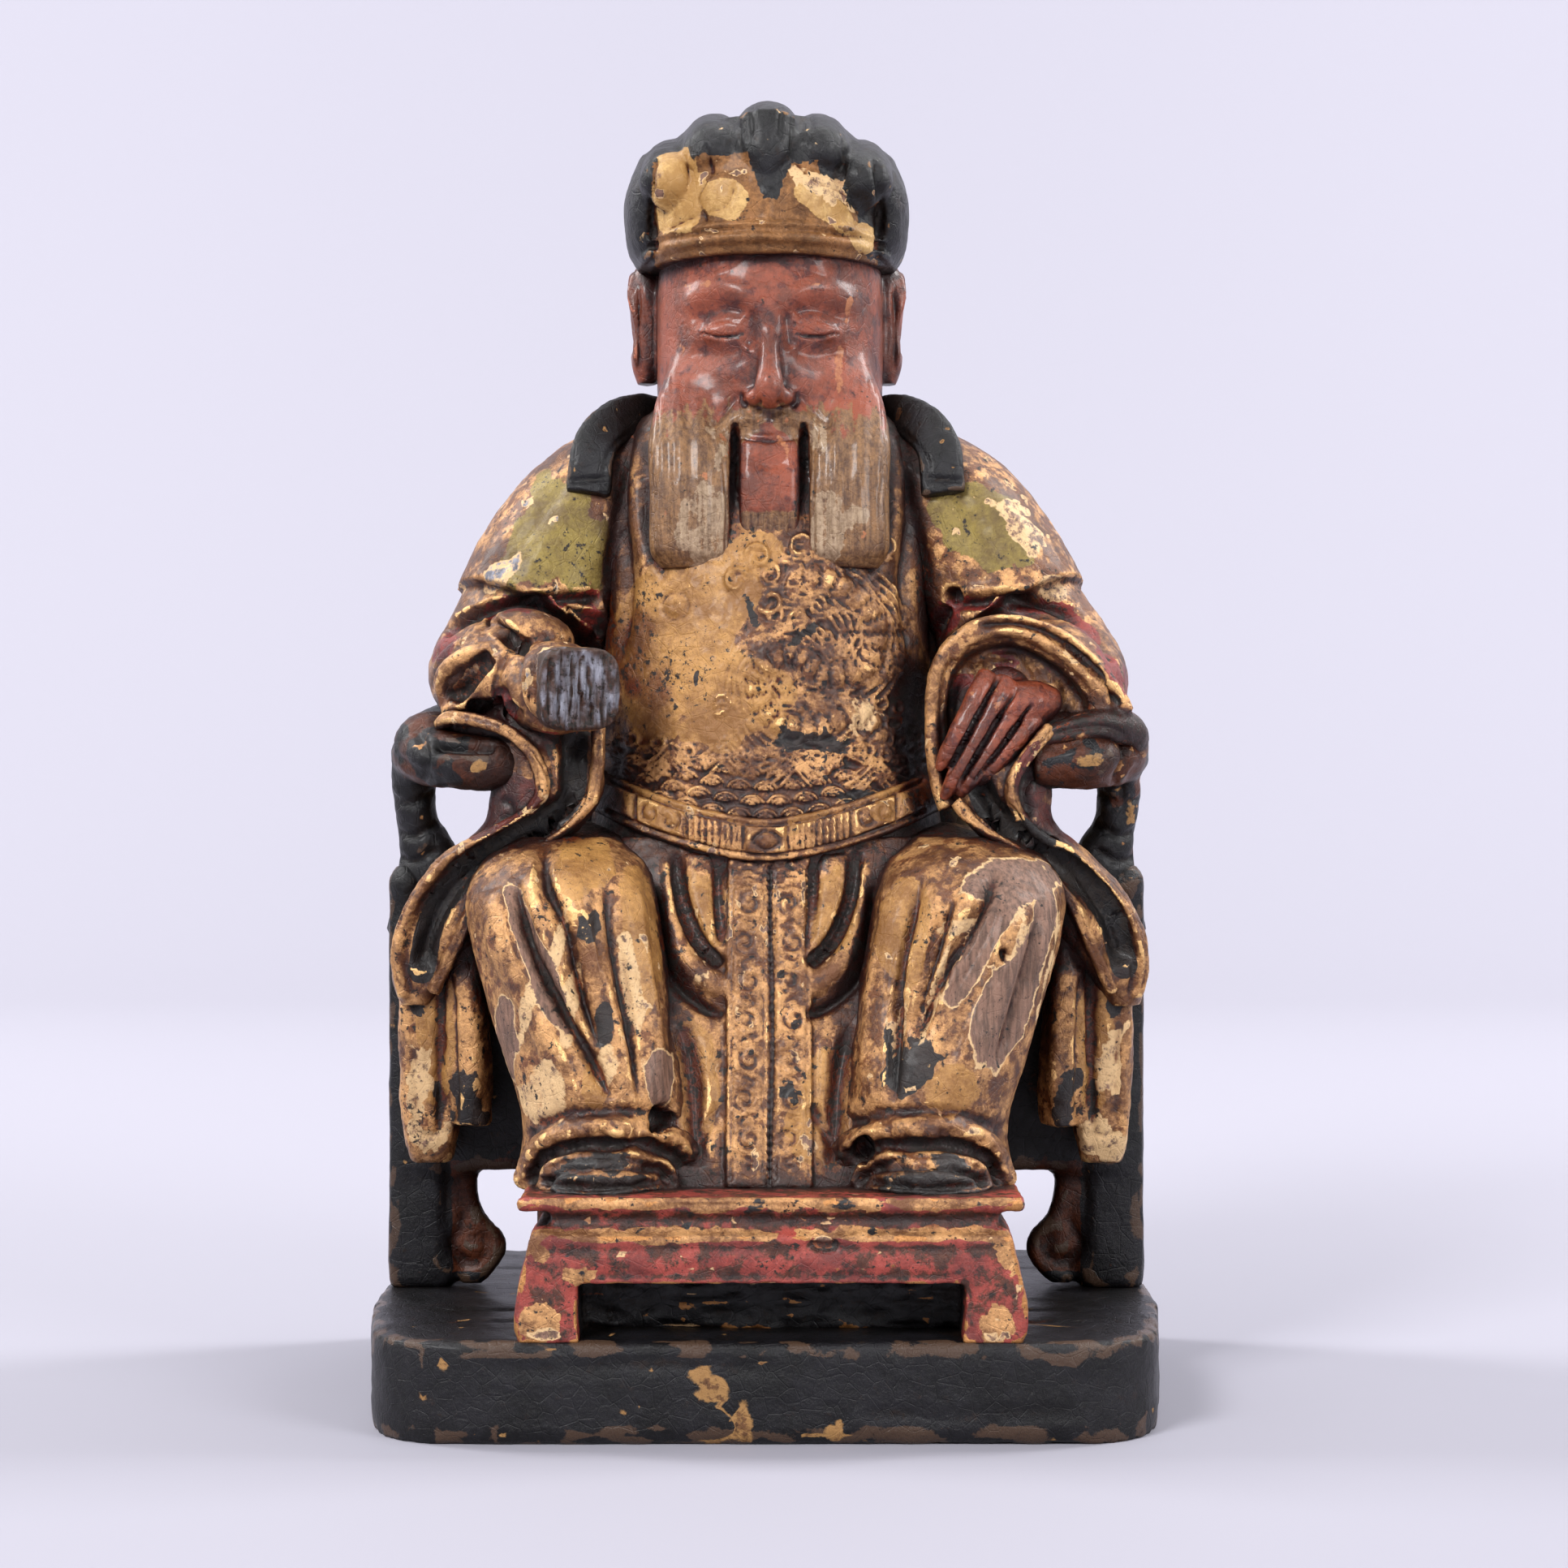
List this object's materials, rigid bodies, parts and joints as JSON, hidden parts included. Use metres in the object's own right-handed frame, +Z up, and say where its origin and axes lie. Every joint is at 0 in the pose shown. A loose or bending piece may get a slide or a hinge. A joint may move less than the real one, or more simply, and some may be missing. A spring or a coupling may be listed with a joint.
{
  "type": "seated scholar figure",
  "caption": "Carved wooden figure of a bearded scholar in court robes, seated in a chair with a footstool on a slab, painted and gilded, with a broken hand.",
  "frame": {"origin": "middle of the slab's underside, on the surface it stands on", "axes": "+Z up, the figure looks along -Y, +X to the viewer's right"},
  "size_m": [0.16, 0.116, 0.2702],
  "materials": {
    "painted_wood": "worn gilding and lacquer over gesso on carved wood"
  },
  "bodies": {
    "root": {"carved_scholar": "painted_wood"}
  },
  "joints": []
}
